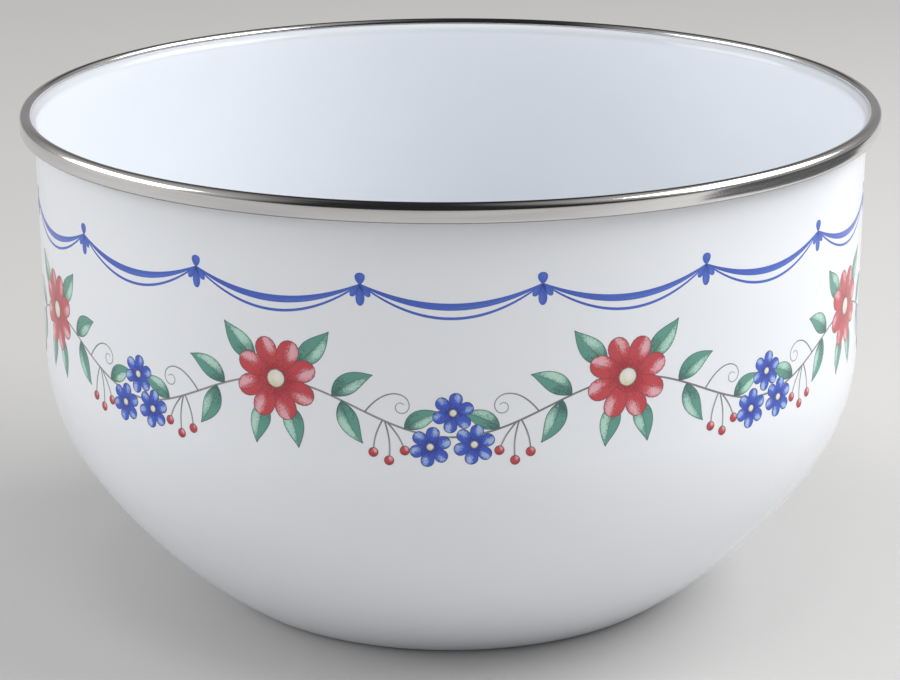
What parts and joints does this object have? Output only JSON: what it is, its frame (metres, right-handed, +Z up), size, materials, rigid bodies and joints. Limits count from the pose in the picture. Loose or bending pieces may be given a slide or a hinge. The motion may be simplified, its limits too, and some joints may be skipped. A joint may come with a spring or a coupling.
{
  "type": "enamelled steel mixing bowl",
  "caption": "Deep round mixing bowl of enamelled pressed steel, straight-walled above a curved flank and flat base, with a stainless band rolled over its lip.",
  "frame": {"origin": "on the table, under the middle of the base", "axes": "+Z up along the bowl's axis, towards its mouth; X and Y lie level and the bowl is round about Z"},
  "size_m": [0.241, 0.241, 0.141],
  "materials": {
    "outside_enamel": "gloss white vitreous enamel with a fired floral print",
    "sheet_steel": "pressed sheet, hidden under the enamel",
    "inside_enamel": "gloss cool white vitreous enamel",
    "stainless": "polished, with fine marks along the strip"
  },
  "bodies": {
    "root": {"outside_enamel": "outside_enamel", "steel_shell": "sheet_steel", "inside_enamel": "inside_enamel", "rim_band": "stainless"}
  },
  "joints": []
}
